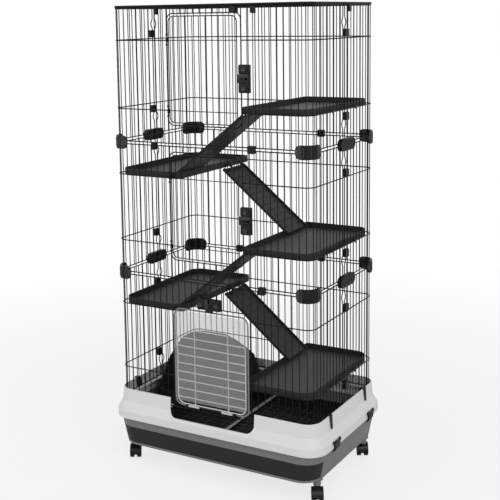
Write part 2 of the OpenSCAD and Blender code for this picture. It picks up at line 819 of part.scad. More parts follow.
module floor_grate(s) {
    w = grate_x - mid_rail_w / 2 + 4;
    x0 = mid_rail_w / 2 - 4;
    bar = 3;
    nx = floor((w - 20) / grate_pitch);
    ny = floor((grate_y - 10) / grate_pitch);
    color(black) mirror([s > 0 ? 0 : 1, 0, 0]) translate([0, 0, grate_z])
        linear_extrude(grate_t) intersection() {
            rounded(2 * grate_x, 2 * grate_y, foot_r - mould_t);
            union() {
                difference() {
                    translate([x0, -grate_y]) square([w, 2 * grate_y]);
                    intersection() {
                        translate([x0 + 6, -grate_y + 6]) square([w - 12, 2 * grate_y - 12]);
                        rounded(2 * grate_x - 12, 2 * grate_y - 12, foot_r - mould_t - 6);
                    }
                }
                for (k = [1 : nx]) translate([x0 + k * grate_pitch, -grate_y])
                    square([bar, 2 * grate_y]);
                for (k = [-ny : ny]) translate([x0, k * grate_pitch - bar / 2])
                    square([w, bar]);
            }
        }
}

module floor_grate_left() floor_grate(-1);
module floor_grate_right() floor_grate(1);

module floor_rail()
    color([0.75, 0.75, 0.75]) translate([-mid_rail_w / 2, -grate_y + 8, grate_z + grate_t + seat])
        cube([mid_rail_w, 2 * grate_y - 16, 6]);

// ---- litter pan in the back left corner ----

pan_x = -half_w + ledge_in + 1;
pan_y = half_d - ledge_in - 1;
pan_r = 45;
pan_z = grate_z + grate_t + seat;

module pan_outline(t) {
    short = 40;
    polygon([for (a = [180 : -9 : 90]) [pan_r + (pan_r - t) * cos(a), -pan_r + (pan_r - t) * sin(a)],
             [pan_leg - t * 1.2, -t], [pan_leg - t * 1.2, -short - t * 0.2],
             [short + t * 0.2, -pan_leg + t * 1.2], [t, -pan_leg + t * 1.2]]);
}

module litter_pan() {
    back_l = pan_leg * 0.46;
    side_l = pan_leg * 0.36;
    a = pan_leg / 100;
    b = pan_h / 100;
    color(dark) translate([pan_x, pan_y, pan_z]) difference() {
        linear_extrude(pan_h) pan_outline(0);
        translate([0, 0, mould_t]) linear_extrude(pan_h) pan_outline(mould_t);
        // the back wall steps down to the lip
        translate([0, 10, 0]) rotate([90, 0, 0]) linear_extrude(pan_leg + 20)
            polygon([[back_l, pan_h], [back_l + 15.4 * a, pan_h - 7 * b],
                     [back_l + 32.3 * a, pan_h - 18.9 * b], [back_l + 44.2 * a, pan_h - 29.9 * b],
                     [98.6 * a, pan_lip + 10 * b],
                     [pan_leg + 5, pan_lip], [pan_leg + 5, pan_h + 5], [back_l, pan_h + 5]]);
        translate([-10, 0, 0]) rotate([90, 0, 90]) linear_extrude(pan_leg + 20)
            polygon([[-side_l, pan_h], [-side_l - 16.1 * a, pan_h - 10.9 * b],
                     [-side_l - 33 * a, pan_h - 25.4 * b], [-side_l - 42.8 * a, pan_h - 40.8 * b],
                     [-92.3 * a, pan_lip + 8 * b],
                     [-pan_leg - 5, pan_lip], [-pan_leg - 5, pan_h + 5], [-side_l, pan_h + 5]]);
        // the slanting front is the low lip
        translate([0, 0, pan_lip]) linear_extrude(pan_h)
            polygon([[pan_leg + 5, -55], [50, -pan_leg - 5], [pan_leg + 5, -pan_leg - 5]]);
        translate([0, 0, pan_lip]) linear_extrude(pan_h)
            polygon([[pan_leg + 5, -28], [pan_leg - 20, -28], [28, -pan_leg + 20],
                     [28, -pan_leg - 5], [pan_leg + 5, -pan_leg - 5]]);
    }
}

// ---- casters ----

socket_h = 26;
socket_r = 13;
fork_gap = 0.3;
hood_t = 2;
neck_t = hood_t + 3;
hub_t = wheel_w - 2 * tread_w - 2;

module at_casters() for (sx = [-1, 1], sy = [-1, 1])
    translate([sx * caster_x, sy * caster_y, 0]) children();

socket_low = 2 * wheel_r + hood_t + 4;

module caster_sockets()
    color(mid_grey) at_casters() difference() {
        union() {
            translate([0, 0, socket_low]) cylinder(r = socket_r, h = shell_z - socket_low, $fn = 48);
            translate([0, 0, shell_z - 5]) cylinder(r = socket_r + 6, h = 5, $fn = 48);
        }
        translate([0, 0, socket_low - 1])
            cylinder(r = stem_r + run_clear, h = shell_z - socket_low - 3, $fn = 48);
    }

// hood, hub and stem of one caster; local x runs from the stem to the axle
module caster_fork(sx, sy) {
    hood_r = wheel_r + 1 + hood_t;
    color(black) translate([sx * caster_x, sy * caster_y, 0]) rotate([0, 0, sy * 90 + caster_turn]) {
        translate([0, 0, socket_low - fork_gap - neck_t])
            cylinder(r = socket_r - 2, h = neck_t, $fn = 48);
        translate([0, 0, socket_low - fork_gap - 1])
            cylinder(r = stem_r, h = shell_z - socket_low - 5, $fn = 48);
        translate([trail, 0, wheel_r]) difference() {
            rotate([90, 0, 0]) union() {
                translate([0, 0, -hub_t / 2]) cylinder(r = hood_r - 1, h = hub_t, $fn = 64);
                difference() {
                    translate([0, 0, -wheel_w / 2]) cylinder(r = hood_r, h = wheel_w, $fn = 64);
                    translate([0, 0, -wheel_w]) cylinder(r = hood_r - hood_t, h = 2 * wheel_w, $fn = 64);
                }
            }
            rotate([90, 0, 0]) translate([0, 0, -wheel_w])
                cylinder(r = axle_r + run_clear, h = 2 * wheel_w, $fn = 48);
            translate([-2 * hood_r, -wheel_w, -2 * hood_r - 2 * axle_r])
                cube([4 * hood_r, 2 * wheel_w, 2 * hood_r]);
        }
    }
}

module caster_wheels(sx, sy)
    color(dark) translate([sx * caster_x, sy * caster_y, wheel_r])
        rotate([0, 0, sy * 90 + caster_turn]) translate([trail, 0, 0]) rotate([90, 0, 0]) {
            for (s = [-1, 1]) translate([0, 0, s * (wheel_w - tread_w) / 2 - tread_w / 2])
                cylinder(r = wheel_r, h = tread_w, $fn = 64);
            translate([0, 0, -wheel_w / 2 + 2]) cylinder(r = axle_r, h = wheel_w - 4, $fn = 48);
        }

module caster_fork_front_left() caster_fork(-1, -1);
module caster_fork_front_right() caster_fork(1, -1);
module caster_fork_back_left() caster_fork(-1, 1);
module caster_fork_back_right() caster_fork(1, 1);
module caster_wheels_front_left() caster_wheels(-1, -1);
module caster_wheels_front_right() caster_wheels(1, -1);
module caster_wheels_back_left() caster_wheels(-1, 1);
module caster_wheels_back_right() caster_wheels(1, 1);

// ---- base catches: local x runs out from the flange ----

catch_pin_z = flange_top - 5;
catch_pin_x = catch_t / 2 + 1.2;

module base_catch(sx, sy)
    color(black) translate([0, sy * catch_y, 0]) mirror([sx > 0 ? 0 : 1, 0, 0])
        translate([flange_x, 0, catch_pin_z]) {
            tip = catch_h - 5;
            round_r = catch_w * 0.3;
            intersection() {
                rotate([90, 0, 0]) translate([0, 0, -catch_w / 2]) linear_extrude(catch_w)
                    polygon([[1.7, 2.6], [1.2 + catch_t, 3.5], [1.2 + catch_t, -tip * 0.6],
                             [-4, -tip], [-8, -tip], [-2.5, -flange_h - 1],
                             [-5, low_z - catch_pin_z - 0.5],
                             [1.2, low_z - catch_pin_z - 0.5], [1.2, -2]]);
                // round shoulders, and narrower towards the hook
                rotate([90, 0, 90]) translate([0, 0, -20]) linear_extrude(40) hull() {
                    for (e = [-1, 1]) translate([e * (catch_w / 2 - round_r), 3.6 - round_r])
                        circle(r = round_r, $fn = 48);
                    translate([-catch_w / 4, -tip - 1]) square([catch_w / 2, 2]);
                }
            }
            rotate([90, 0, 0]) translate([catch_pin_x, 0, -catch_w / 2 - 4])
                cylinder(r = catch_pin_r, h = catch_w + 8, $fn = 32);
        }

module base_catch_front_left() base_catch(-1, -1);
module base_catch_front_right() base_catch(1, -1);
module base_catch_back_left() base_catch(-1, 1);
module base_catch_back_right() base_catch(1, 1);

module catch_brackets()
    color(black) for (sx = [-1, 1], sy = [-1, 1], e = [-1, 1])
        translate([0, sy * catch_y + e * (catch_w / 2 + 0.3 + 2.5), 0])
            mirror([sx > 0 ? 0 : 1, 0, 0]) translate([flange_x, 0, catch_pin_z]) difference() {
                translate([0, -2.5, -5]) cube([catch_t + 1, 5, 10]);
                translate([catch_pin_x, 10, 0]) rotate([90, 0, 0])
                    cylinder(r = catch_pin_r + run_clear, h = 20, $fn = 32);
            }

wedge_y = seam_y + 5.5 * pitch;

// black wedges that hold the cage down on the surround
module hold_down_wedges()
    color(black) for (sx = [-1, 1], sy = [-1, 1])
        translate([0, sy * wedge_y, 0]) mirror([sx > 0 ? 0 : 1, 0, 0]) intersection() {
            x = half_w + out + seat;
            z = cage_z + end_gap + ring_h / 2 + 0.3;
            rim = cage_z + top_up;
            translate([0, wedge_w / 2, 0]) rotate([90, 0, 0]) linear_extrude(wedge_w)
                polygon([[x - wire_t - 2, z], [top_x - mould_t - 1.5, z],
                         [top_x - mould_t - 1.5, rim + seat], [top_x + 2, rim + seat],
                         [top_x + 5, wedge_low], [top_x + 9, wedge_low],
                         [top_x + 5, rim + 4], [x + 1, rim + 4], [x - wire_t - 2, z + 14]]);
            // narrower towards its lower end
            rotate([90, 0, 90]) linear_extrude(cage_w)
                polygon([[-wedge_w / 2, rim + 5], [-wedge_w / 4, wedge_low - 1],
                         [wedge_w / 4, wedge_low - 1], [wedge_w / 2, rim + 5]]);
        }

// ---- clips on the wires ----

module corner_clips() {
    r = corner_r + out + seat;
    grow = 2 * (out + seat);
    t = corner_clip_t;
    reach = corner_clip_l + corner_r + 2 * t;
    color(black) for (tier = [1, 2], sx = [-1, 1], sy = [-1, 1])
        translate([0, 0, tier_z(tier) - corner_clip_h / 2])
            linear_extrude(corner_clip_h) intersection() {
                difference() {
                    rounded(cage_w + grow + 2 * t, cage_d + grow + 2 * t, r + t);
                    rounded(cage_w + grow, cage_d + grow, r);
                }
                translate([sx * (side_a - corner_clip_l + reach / 2),
                           sy * (side_b - corner_clip_l + reach / 2)])
                    square(reach, center = true);
            }
}

module side_clips()
    color(black) for (t = [1, 2], sx = [-1, 1])
        translate([0, 0, tier_z(t)]) mirror([sx > 0 ? 0 : 1, 0, 0])
            translate([half_w + out + seat, 0, 0]) rotate([90, 0, 90])
                linear_extrude(clip_t + 2) {
                    square([side_clip_l - side_clip_h, side_clip_h], center = true);
                    for (s = [-1, 1]) translate([s * (side_clip_l - side_clip_h) / 2, 0])
                        circle(r = side_clip_h / 2, $fn = 48);
                }

module wire_block(w, h, t) linear_extrude(t) rounded(w, h, 3);

module small_clips() {
    color(black) for (t = [1, 2]) {
        translate([half_w * (t == 1 ? 0.532 : 0.446), front_y - seat, tier_z(t)])
            rotate([90, 0, 0]) wire_block(small_clip, small_clip, clip_t);
        for (s = [-1, 1])
            translate([s * half_w * 0.46, half_d + out + seat + clip_t, tier_z(t)]) rotate([90, 0, 0])
                wire_block(small_clip, small_clip, clip_t);
    }
}

module seam_blocks()
    color(black) for (t = [0 : 2], sx = [-1, 1],
                      v = [low_ring - seam_block * 0.85,
                           sx < 0 && t == 1 ? tier_h - seam_block * 1.7
                                            : high_ring + seam_block * 0.65])
        translate([0, 0, tier_z(t) + v]) mirror([sx > 0 ? 0 : 1, 0, 0])
            translate([half_w + out + seat, 0, 0]) rotate([90, 0, 90])
                wire_block(seam_block, seam_block, clip_t - 1);

module roof_clips() {
    w = small_clip * 0.64;
    h = small_clip * 0.88;
    t = small_clip * 0.36;
    z = cage_top - h / 2 - 1;
    color(black) {
        for (sx = [-1, 1]) mirror([sx > 0 ? 0 : 1, 0, 0])
            translate([half_w + out + seat, half_d * 0.12, z]) rotate([90, 0, 90])
                wire_block(w, h, t);
        for (f = [0.27, 0.47], e = [-1, 1])
            translate([-e * f * half_w, e > 0 ? half_d + out + seat + t : front_y - seat, z])
                rotate([90, 0, 0]) wire_block(w, h, t);
    }
}

base_shell();
base_surround();
drawer_tray();
drawer_front();
floor_grate_left();
floor_grate_right();
floor_rail();
litter_pan();
caster_sockets();
caster_fork_front_left();
caster_fork_front_right();
caster_fork_back_left();
caster_fork_back_right();
caster_wheels_front_left();
caster_wheels_front_right();
caster_wheels_back_left();
caster_wheels_back_right();
base_catch_front_left();
base_catch_front_right();
base_catch_back_left();
base_catch_back_right();
catch_brackets();
hold_down_wedges();
front_shell_low();
front_shell_middle();
front_shell_top();
back_shell_low();
back_shell_middle();
back_shell_top();
roof_panel();
roof_clips();
corner_clips();
side_clips();
small_clips();
seam_blocks();
drop_door();
drop_door_panel();
middle_door();
top_door();
drop_door_pin();
middle_door_pin();
top_door_pin();
drop_latch_block();
middle_latch_block();
top_latch_block();
drop_latch_slider();
middle_latch_slider();
top_latch_slider();
shelf_1();
shelf_2();
shelf_3();
shelf_4();
shelf_5();
ramp_1();
ramp_2();
ramp_3();
ramp_4();
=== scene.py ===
import json
import math

import bmesh
import bpy
from mathutils import Matrix, Vector


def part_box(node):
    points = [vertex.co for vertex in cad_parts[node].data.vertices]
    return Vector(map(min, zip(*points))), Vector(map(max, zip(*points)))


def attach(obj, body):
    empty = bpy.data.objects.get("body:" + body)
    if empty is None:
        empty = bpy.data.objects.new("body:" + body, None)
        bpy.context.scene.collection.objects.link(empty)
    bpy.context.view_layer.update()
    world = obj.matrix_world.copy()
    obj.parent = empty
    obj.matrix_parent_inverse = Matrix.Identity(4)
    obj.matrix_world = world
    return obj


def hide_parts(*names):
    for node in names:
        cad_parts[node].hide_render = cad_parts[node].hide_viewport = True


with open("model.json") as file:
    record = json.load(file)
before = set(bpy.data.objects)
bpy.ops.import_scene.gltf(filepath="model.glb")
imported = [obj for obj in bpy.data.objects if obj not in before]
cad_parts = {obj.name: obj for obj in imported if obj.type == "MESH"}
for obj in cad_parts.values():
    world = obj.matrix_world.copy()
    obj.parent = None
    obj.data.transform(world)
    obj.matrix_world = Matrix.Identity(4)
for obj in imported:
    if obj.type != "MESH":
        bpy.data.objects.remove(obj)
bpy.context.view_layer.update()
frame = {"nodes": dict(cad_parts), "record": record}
print("frame loaded")


def nodeBox(name):
    low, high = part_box(name)
    return Vector(low), Vector(high)


# camera at the photograph's view, in metres, degrees and a lens in millimetres
cameraView = dict(
    place=(1.7388, -3.0959, 1.5767),
    turn=30.68,          # round from the front towards the right side
    dip=7.96,            # down from the level
    roll=-0.905,
    lens=74.30,
    sensor=36,
    shiftX=0.0581,
    shiftY=-0.1796,
)


def makeCamera(c):
    data = bpy.data.cameras.new("photoCamera")
    data.lens = c["lens"]
    data.sensor_width = c["sensor"]
    data.shift_x = c["shiftX"]
    data.shift_y = c["shiftY"]
    camera = bpy.data.objects.new("photoCamera", data)
    bpy.context.collection.objects.link(camera)
    aim = Matrix.Rotation(math.radians(c["turn"]), 4, "Z")
    aim = aim @ Matrix.Rotation(math.radians(90 - c["dip"]), 4, "X")
    aim = aim @ Matrix.Rotation(math.radians(c["roll"]), 4, "Z")
    camera.matrix_world = Matrix.Translation(c["place"]) @ aim
    bpy.context.scene.camera = camera


makeCamera(cameraView)
print("camera set")


class Value:
    # a number on a shader socket, so that sums read as sums
    def __init__(self, tree, socket):
        self.tree = tree
        self.socket = socket

    def math(self, operation, other, flip=False):
        node = self.tree.nodes.new("ShaderNodeMath")
        node.operation = operation
        feeds = (other, self) if flip else (self, other)
        for slot, feed in zip(node.inputs, feeds):
            plug(self.tree, slot, feed)
        return Value(self.tree, node.outputs[0])

    def __add__(self, other):
        return self.math("ADD", other)

    def __radd__(self, other):
        return self.math("ADD", other, True)

    def __mul__(self, other):
        return self.math("MULTIPLY", other)

    def __rmul__(self, other):
        return self.math("MULTIPLY", other, True)

    def __gt__(self, other):
        return self.math("GREATER_THAN", other)


def plug(tree, slot, feed):
    if isinstance(feed, Value):
        tree.links.new(feed.socket, slot)
    else:
        slot.default_value = feed


class Finish:
    # one material and its nodes
    def __init__(self, name):
        self.material = bpy.data.materials.new(name)
        self.material.use_nodes = True
        self.tree = self.material.node_tree
        self.shader = self.tree.nodes["Principled BSDF"]
        self.output = self.tree.nodes["Material Output"]
        self.place = self.node("ShaderNodeTexCoord", {}, {}, "Object")

    def node(self, kind, settings, inputs, out=0):
        node = self.tree.nodes.new(kind)
        for key, value in settings.items():
            setattr(node, key, value)
        for key, feed in inputs.items():
            plug(self.tree, node.inputs[key], feed)
        return Value(self.tree, node.outputs[out])

    def noise(self, scale, detail):
        return self.node("ShaderNodeTexNoise", {}, {
            "Vector": self.place, "Scale": scale, "Detail": detail})

    def blend(self, factor, colorA, colorB):
        # 6, 7 and 2 are a Mix node's sockets for colours
        return self.node("ShaderNodeMix", {"data_type": "RGBA"}, {
            0: factor, 6: colorA, 7: colorB}, 2)

    def put(self, **sockets):
        for key, feed in sockets.items():
            plug(self.tree, self.shader.inputs[key.replace("_", " ")], feed)

    def bump(self, height, distance):
        self.put(Normal=self.node("ShaderNodeBump", {}, {"Height": height, "Distance": distance}))


def shade(tone):
    return (tone, tone, tone, 1)


# scales are per metre, and deep is the height of the grain in metres
plasticSkin = dict(
    cloudScale=7, cloudDetail=3,
    grainScale=900, grainDetail=2,
    waveScale=160, waveDetail=1, wave=0.5,
    deep=0.00012,
    smoother=0.06, cloudRough=0.1, grainRough=0.04,
)
wireSkin = dict(
    peelScale=420, peelDetail=2,
    darker=0.8, paler=1.25,
    peelRough=0.12,
    deep=0.00015,
)
panelSkin = dict(tone=0.46, rough=0.16, alpha=0.23, gloss=0.3, hazeScale=5, hazeDetail=2, haze=0.08)


def mouldedPlastic(name, tone, rough, cloud=0.08, coat=0.0, gloss=0.25):
    s = plasticSkin
    f = Finish(name)
    cloudy = f.noise(s["cloudScale"], s["cloudDetail"])
    fine = f.noise(s["grainScale"], s["grainDetail"])
    wave = f.noise(s["waveScale"], s["waveDetail"])
    f.put(Base_Color=f.blend(cloudy, shade(tone * (1 - cloud)), shade(tone * (1 + cloud))))
    f.put(Roughness=rough - s["smoother"] + cloudy * s["cloudRough"] + fine * s["grainRough"])
    f.put(Coat_Weight=coat, Specular_IOR_Level=gloss)
    f.bump(fine + wave * s["wave"], s["deep"])
    return f


def coatedWire(name, tone, rough, gloss=0.25):
    s = wireSkin
    f = Finish(name)
    peel = f.noise(s["peelScale"], s["peelDetail"])
    f.put(Base_Color=f.blend(peel, shade(tone * s["darker"]), shade(tone * s["paler"])))
    f.put(Roughness=rough + peel * s["peelRough"], Specular_IOR_Level=gloss)
    f.bump(peel, s["deep"])
    return f


def clearSheet(name, s):
    f = Finish(name)
    haze = f.noise(s["hazeScale"], s["hazeDetail"]) * s["haze"]
    f.put(Base_Color=shade(s["tone"]), Roughness=s["rough"] + haze, Alpha=s["alpha"] + haze)
    f.put(Specular_IOR_Level=s["gloss"])
    return f


finishes = dict(
    blackWire=coatedWire("blackWire", tone=0.005, rough=0.38, gloss=0.15),
    paleWire=coatedWire("paleWire", tone=0.68, rough=0.3),
    greyEdge=coatedWire("greyEdge", tone=0.2, rough=0.35),
    clip=mouldedPlastic("clipPlastic", tone=0.007, rough=0.4, gloss=0.2),
    boss=mouldedPlastic("bossPlastic", tone=0.035, rough=0.35),
    knob=mouldedPlastic("knobPlastic", tone=0.010, rough=0.3, coat=0.1),
    pale=mouldedPlastic("palePlastic", tone=0.74, rough=0.42, cloud=0.015),
    grey=mouldedPlastic("greyPlastic", tone=0.19, rough=0.45, cloud=0.03),
    drawer=mouldedPlastic("drawerPlastic", tone=0.017, rough=0.42),
    grate=mouldedPlastic("gratePlastic", tone=0.008, rough=0.4),
    rail=mouldedPlastic("railPlastic", tone=0.42, rough=0.4, cloud=0.04),
    pan=mouldedPlastic("panPlastic", tone=0.020, rough=0.4),
    shelf=mouldedPlastic("shelfPlastic", tone=0.024, rough=0.5, gloss=0.2),
    shelfFloor=mouldedPlastic("shelfFloorPlastic", tone=0.060, rough=0.55, gloss=0.2),
    shelfRim=mouldedPlastic("shelfRimPlastic", tone=0.008, rough=0.5, gloss=0.1),
    ramp=mouldedPlastic("rampPlastic", tone=0.017, rough=0.48, gloss=0.2),
    caster=mouldedPlastic("casterPlastic", tone=0.008, rough=0.32),
    tread=mouldedPlastic("casterTread", tone=0.011, rough=0.5),
    panel=clearSheet("smokyPanel", panelSkin),
)
print("finishes made")

bodyOf = {}
for bodyName, nodeNames in frame["record"]["behaviour"]["bodies"].items():
    for nodeName in nodeNames:
        bodyOf[nodeName] = bodyName


def slotOf(node):
    for entry in frame["record"]["subparts"]:
        if entry["node"] == node:
            return entry["material_slot"]


# how edges are shaded and bevelled, angles in degrees
softEdge = dict(angle=35, segments=2)
wireAngle = 60
weldGap = 0.00001      # corners of a solid's triangles that lie closer are one


def addPiece(name, bm, finish, nodes=(), body=None, slot=None, bevel=0.0,
             angle=softEdge["angle"], also=()):
    mesh = bpy.data.meshes.new(name)
    bm.to_mesh(mesh)
    bm.free()
    piece = bpy.data.objects.new(name, mesh)
    bpy.context.collection.objects.link(piece)
    for kind in (finish, *also):
        piece.data.materials.append(finishes[kind].material)
    smoothByAngle(piece, angle)
    if bevel:
        soft = piece.modifiers.new("soften", "BEVEL")
        soft.width = bevel
        soft.segments = softEdge["segments"]
        soft.limit_method = "ANGLE"
        soft.angle_limit = math.radians(angle)
        soft.harden_normals = True
        soft.material = -1
    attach(piece, body or bodyOf[nodes[0]])
    if nodes:
        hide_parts(*nodes)
    slot or slotOf(nodes[0])


def smoothByAngle(piece, angle):
    bm = bmesh.new()
    bm.from_mesh(piece.data)
    for face in bm.faces:
        face.smooth = True
    limit = math.radians(angle)
    for edge in bm.edges:
        edge.smooth = len(edge.link_faces) == 2 and edge.calc_face_angle(0) < limit
    bm.to_mesh(piece.data)
    bm.free()


def mergedNode(node):
    # a merged copy of a CAD node's loose triangles
    bm = bmesh.new()
    bm.from_mesh(frame["nodes"][node].data)
    bmesh.ops.remove_doubles(bm, verts=bm.verts, dist=weldGap)
    return bm


def refine(node, finish, bevel):
    # the solid's own shape with softened edges
    addPiece(node + "_finished", mergedNode(node), finish, [node], bevel=bevel)


def giveSecondFinish(bm, count):
    # all faces after the first ones
    bm.faces.ensure_lookup_table()
    for face in bm.faces[count:]:
        face.material_index = 1


wireSides = 8          # flats round a wire
cornerSteps = 6        # steps round a bent corner
coilSteps = 12         # steps round one turn of a coil
blockSegments = 3      # segments of a block's round edges
floorPlane = ((1, 0, 0), (0, 1, 0))
frontPlane = ((1, 0, 0), (0, 0, 1))
sidePlane = ((0, 1, 0), (0, 0, 1))


def rod(bm, start, end, radius):
    # a round wire with closed ends
    line = Vector(end) - Vector(start)
    turn = Vector((0, 0, 1)).rotation_difference(line).to_matrix().to_4x4()
    middle = Matrix.Translation((Vector(start) + Vector(end)) / 2)
    bmesh.ops.create_cone(bm, cap_ends=True, segments=wireSides, radius1=radius,
                          radius2=radius, depth=line.length, matrix=middle @ turn)


def sweep(bm, path, radius, closed=False, sides=wireSides):
    # a round wire along a path, its ring extruded and turned from point to point
    path = [Vector(p) for p in path]
    count = len(path)
    heading = []
    for i in range(count):
        if closed:
            step = path[(i + 1) % count] - path[i - 1]
        else:
            step = path[min(i + 1, count - 1)] - path[max(i - 1, 0)]
        heading.append(step.normalized())
    turn = Vector((0, 0, 1)).rotation_difference(heading[0])
    spots = []
    for i in range(count):
        if i:
            turn = heading[i - 1].rotation_difference(heading[i]) @ turn
        spots.append(Matrix.Translation(path[i]) @ turn.to_matrix().to_4x4())
    made = bmesh.ops.create_circle(bm, cap_ends=not closed, segments=sides,
                                   radius=radius, matrix=spots[0])
    ring = made["verts"]
    edges = list({e for v in ring for e in v.link_edges})
    first = edges
    for before, after in zip(spots, spots[1:]):
        grown = bmesh.ops.extrude_edge_only(bm, edges=edges)["geom"]
        edges = [g for g in grown if isinstance(g, bmesh.types.BMEdge)
                 and all(v in grown for v in g.verts)]
        verts = [g for g in grown if isinstance(g, bmesh.types.BMVert)]
        bmesh.ops.transform(bm, matrix=after @ before.inverted(), verts=verts)
    if closed:
        bmesh.ops.bridge_loops(bm, edges=first + edges)
    else:
        bmesh.ops.contextual_create(bm, geom=edges)


def arcPoints(center, radius, fromAngle, toAngle, plane, steps=cornerSteps):
    # plane gives the two axes that the arc lies in
    across, up = Vector(plane[0]), Vector(plane[1])
    points = []
    for i in range(steps + 1):
        a = math.radians(fromAngle + (toAngle - fromAngle) * i / steps)
        points.append(Vector(center) + across * radius * math.cos(a) + up * radius * math.sin(a))
    return points


def roundedLoop(middle, halfA, halfB, radius, plane, steps=cornerSteps):
    points = []
    for turn, (sa, sb) in enumerate(((1, 1), (-1, 1), (-1, -1), (1, -1))):
        corner = Vector(middle) + Vector(plane[0]) * sa * (halfA - radius)
        corner += Vector(plane[1]) * sb * (halfB - radius)
        points += arcPoints(corner, radius, turn * 90, turn * 90 + 90, plane, steps)
    return points


def coilPoints(middle, radius, turns, pitch, plane):
    # wound round the axis that stands on the plane
    across, up = Vector(plane[0]), Vector(plane[1])
    axis = across.cross(up)
    points = []
    for i in range(turns * coilSteps + 1):
        a = math.radians(i * 360 / coilSteps)
        spot = (across * math.cos(a) + up * math.sin(a)) * radius
        points.append(Vector(middle) + spot + axis * pitch * (i / coilSteps - turns / 2))
    return points


def block(bm, low, high, bevel=0.0, segments=blockSegments):
    # a box between two corners, with rounded edges
    low, high = Vector(low), Vector(high)
    spot = Matrix.Translation((low + high) / 2) @ Matrix.Diagonal((*(high - low), 1))
    made = bmesh.ops.create_cube(bm, size=1, matrix=spot)
    if bevel:
        edges = list({e for v in made["verts"] for e in v.link_edges})
        bmesh.ops.bevel(bm, geom=edges, offset=bevel, segments=segments, affect="EDGES",
                        profile=0.5, material=-1, clamp_overlap=True)


tierWires = dict(
    upright=0.0016,       # radius of the upright wires
    ring=0.0020,          # radius of the level wires
    pitch=0.025,
    corner=0.030,
    skin=0.0015,          # from the solid walls' outer face to the middle of the wires
    foot=0.00325,         # from the solid's lowest point down to the tier's foot
    ringLevels=(0.005, 0.115, 0.346, 0.452),
    onLine=0.0001,        # a ring's point this near to the front line lies on it
    cornerAngles=(22.5, 67.5),      # the two uprights in each corner
    wallGap=0.001,        # least gap between the last upright and a corner, front and back
    sideGap=0.003,        # the same at the sides
    doorGap=0.008,        # the same over and under a doorway, to its right edge
    lowSill=0.03,         # a lower sill has no uprights under it
    seam=0.0072,          # half the distance between the two seam wires
    seamWire=0.0019,
    eyeHeights=(0.066, 0.398),
    eyeWidth=0.0092,
    eyeHeight=0.018,
    eyeBow=((-1.0, 0), (-0.55, 0.5), (0, 1), (0.55, 0.5), (1.0, 0)),    # shares up and out
    openingCorner=0.022,
)
# left, right, sill and head
doorways = dict(
    low=(-0.1515, 0.1515, 0.016, 0.370),
    middle=(-0.151, 0.128, 0.066, 0.433),
    top=(-0.151, 0.128, 0.066, 0.433),
)
wallCorner = nodeBox("back_shell_low")[1]
halfW = wallCorner.x - tierWires["skin"]
halfD = wallCorner.y - tierWires["skin"]
flatX = halfW - tierWires["corner"]      # where the walls' corners begin
flatY = halfD - tierWires["corner"]
rounding = 0.001                         # share of a pitch that a division may lose


def tierBottom(tier):
    return nodeBox("front_shell_" + tier)[0].z - tierWires["foot"]


def spread(fromHere, toThere, pitch):
    count = int((toThere - fromHere) / pitch + rounding)
    return [fromHere + k * pitch for k in range(count + 1)]


def upright(bm, x, y, low, high, radius):
    rod(bm, (x, y, low), (x, y, high), radius)


def frontUprights(bm, tier, low, high, w):
    # cut short over and under the doorway
    left, right, sill, head = doorways[tier]
    z0 = tierBottom(tier)
    y = -halfD + w["upright"] * 0.5
    beside = [-x for x in spread(-left, flatX - w["wallGap"], w["pitch"])]
    beside += spread(right, flatX - w["wallGap"], w["pitch"])
    for x in beside:
        upright(bm, x, y, low, high, w["upright"])
    for x in spread(left + w["pitch"], right - w["doorGap"], w["pitch"]):
        upright(bm, x, y, z0 + head, high, w["upright"])
        if sill > w["lowSill"]:
            upright(bm, x, y, low, z0 + sill, w["upright"])


def backUprights(bm, low, high, w):
    count = int((flatX - w["wallGap"]) / w["pitch"])
    for k in range(-count, count + 1):
        upright(bm, k * w["pitch"], halfD - w["upright"] * 0.5, low, high, w["upright"])


def sideUprights(bm, tier, low, high, w):
    # with the corners and the seam wires
    inset = w["upright"] * 0.5
    eyes = [tierBottom(tier) + e for e in w["eyeHeights"]]
    for sx in (-1, 1):
        for sy in (-1, 1):
            for a in map(math.radians, w["cornerAngles"]):
                x = sx * (flatX + (w["corner"] - inset) * math.cos(a))
                y = sy * (flatY + (w["corner"] - inset) * math.sin(a))
                upright(bm, x, y, low, high, w["upright"])
            x = sx * (halfW - inset)
            for y in spread(w["seam"] + w["pitch"], flatY - w["sideGap"], w["pitch"]):
                upright(bm, x, sy * y, low, high, w["upright"])
            seamWire(bm, x, sy * w["seam"], sy, low, high, eyes, w)


def seamWire(bm, x, y, side, low, high, eyes, w):
    # a seam wire bows out round each eye
    path = [Vector((x, y, low))]
    for z in eyes:
        for rise, bow in w["eyeBow"]:
            path.append(Vector((x, y + side * bow * w["eyeWidth"], z + rise * w["eyeHeight"])))
    path.append(Vector((x, y, high)))
    sweep(bm, path, w["seamWire"])


def levelRings(bm, tier, w):
    # open at the doorway
    left, right, sill, head = doorways[tier]
    out = w["ring"] * 0.5
    y = -halfD - out
    for level in w["ringLevels"]:
        z = tierBottom(tier) + level
        loop = roundedLoop((0, 0, z), halfW + out, halfD + out, w["corner"] + out, floorPlane)
        if sill < level < head:
            start = next(i for i, p in enumerate(loop) if p.x < 0 and abs(p.y - y) < w["onLine"])
            around = loop[start + 1:] + loop[:start + 1]
            sweep(bm, [(right, y, z)] + around + [(left, y, z)], w["ring"])
        else:
            sweep(bm, loop, w["ring"], closed=True)


